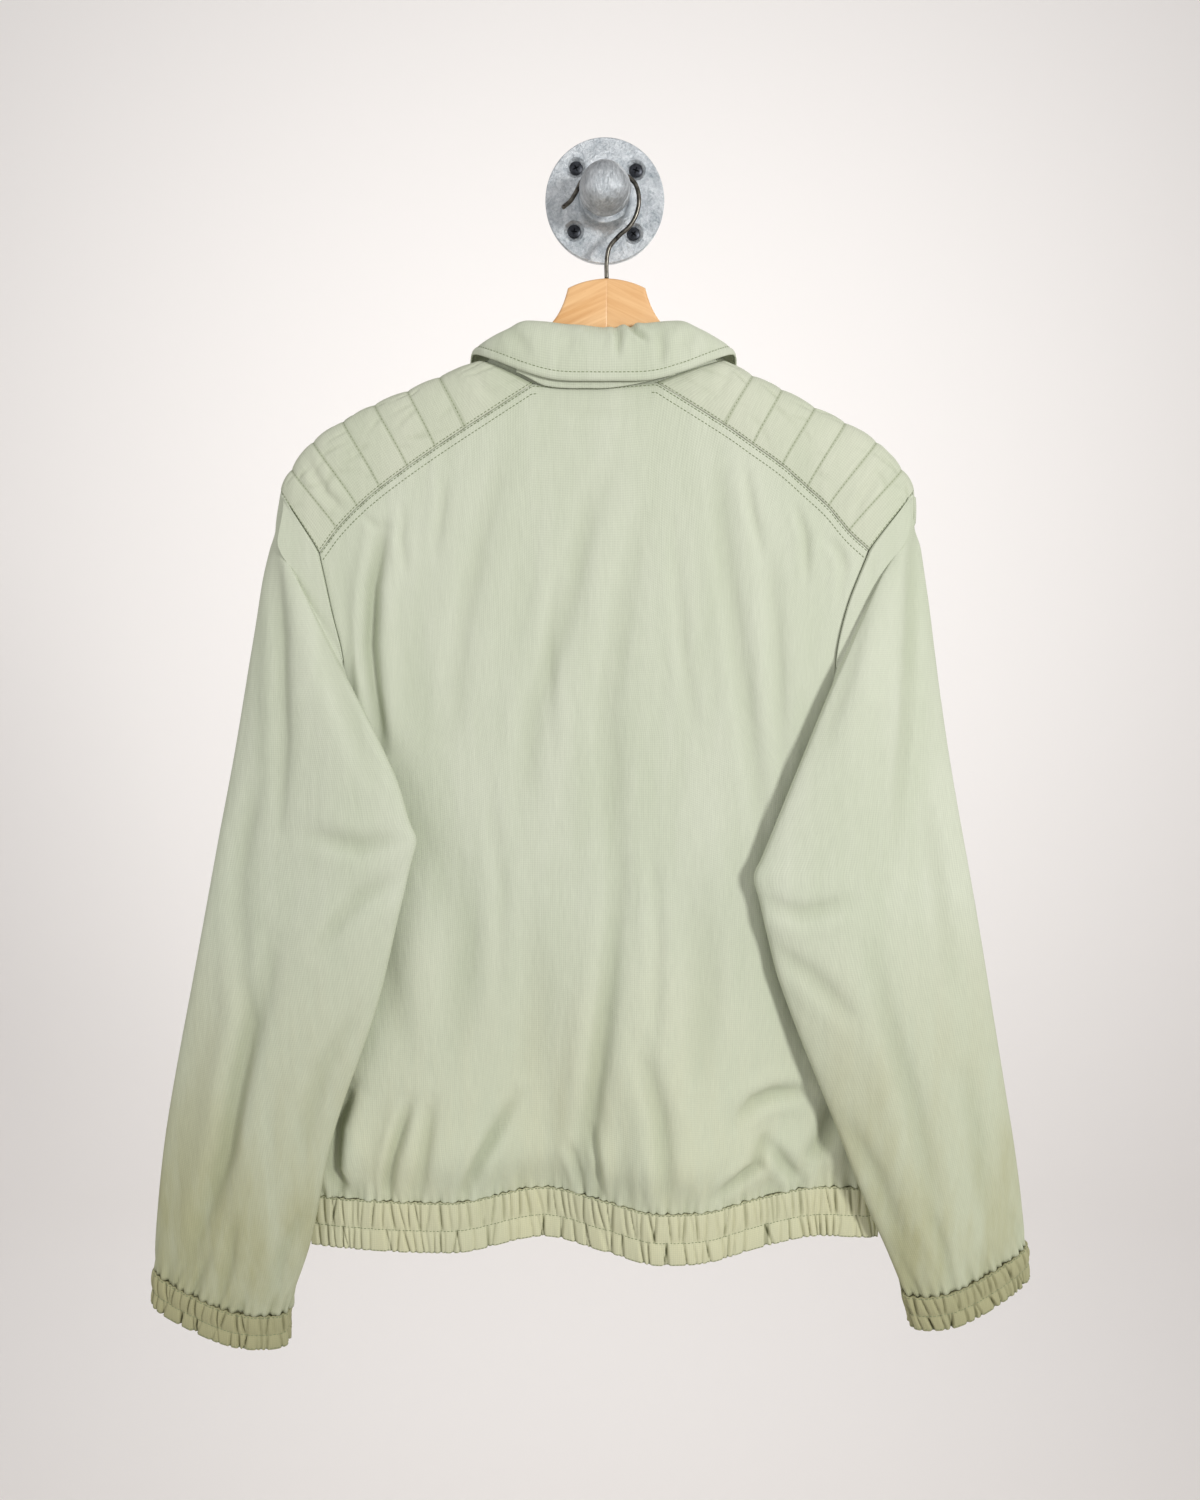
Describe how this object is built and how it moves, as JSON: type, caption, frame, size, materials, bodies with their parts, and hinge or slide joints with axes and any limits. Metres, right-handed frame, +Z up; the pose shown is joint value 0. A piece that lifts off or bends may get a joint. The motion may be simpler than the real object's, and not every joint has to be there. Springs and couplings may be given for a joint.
{
  "type": "harrington jacket on a wooden hanger and wall pipe hook",
  "caption": "Sage cotton harrington jacket with quilted shoulder yokes, turned-down collar and ruched cuffs and waistband, hung by a wooden hanger from a pipe stub on a wall flange.",
  "frame": {"origin": "centre of the wall flange's back face, on the wall", "axes": "+Y into the wall, +Z up, +X to the right of someone who faces the wall and sees the jacket's back"},
  "size_m": [0.736, 0.0829, 0.9564],
  "materials": {
    "sage_poplin": "plain-woven cotton poplin, matt, faded sage green",
    "quilted_poplin": "the same poplin, lightly padded and stitched in channels",
    "ruched_poplin": "the same poplin gathered over elastic, slightly yellowed",
    "zip_tape": "woven tape",
    "zip_metal": "satin metal",
    "beech": "clear satin lacquer, straight grain",
    "steel_wire": "bright drawn wire",
    "zinc_coat": "hot-dip galvanised, mottled",
    "black_screw": "black oxide, cross head"
  },
  "bodies": {
    "jacket": {"back_panel": "sage_poplin", "front_left": "sage_poplin", "front_right": "sage_poplin", "sleeve_left": "sage_poplin", "sleeve_right": "sage_poplin", "collar_stand": "sage_poplin", "collar_fall": "sage_poplin", "collar_under": "sage_poplin", "yoke_left": "quilted_poplin", "yoke_right": "quilted_poplin", "cuff_left": "ruched_poplin", "cuff_right": "ruched_poplin", "waistband_back": "ruched_poplin", "waistband_front_left": "ruched_poplin", "waistband_front_right": "ruched_poplin", "zip_tape_left": "zip_tape", "zip_tape_right": "zip_tape", "zip_slider": "zip_metal", "hanger_arm_left": "beech", "hanger_arm_right": "beech", "hanger_hook": "steel_wire", "wall_flange": "zinc_coat", "pipe_nipple": "zinc_coat", "pipe_cap": "zinc_coat", "screw_1": "black_screw", "screw_2": "black_screw", "screw_3": "black_screw", "screw_4": "black_screw"},
    "zip_pull": {"zip_pull": "zip_metal"}
  },
  "joints": [
    {"name": "zip_pull_swing", "type": "hinge", "parent": "jacket", "child": "zip_pull", "pos_m": [-0.004, -0.0077, -0.2006], "axis": [1, 0, 0], "range_deg": [0, 170]}
  ]
}
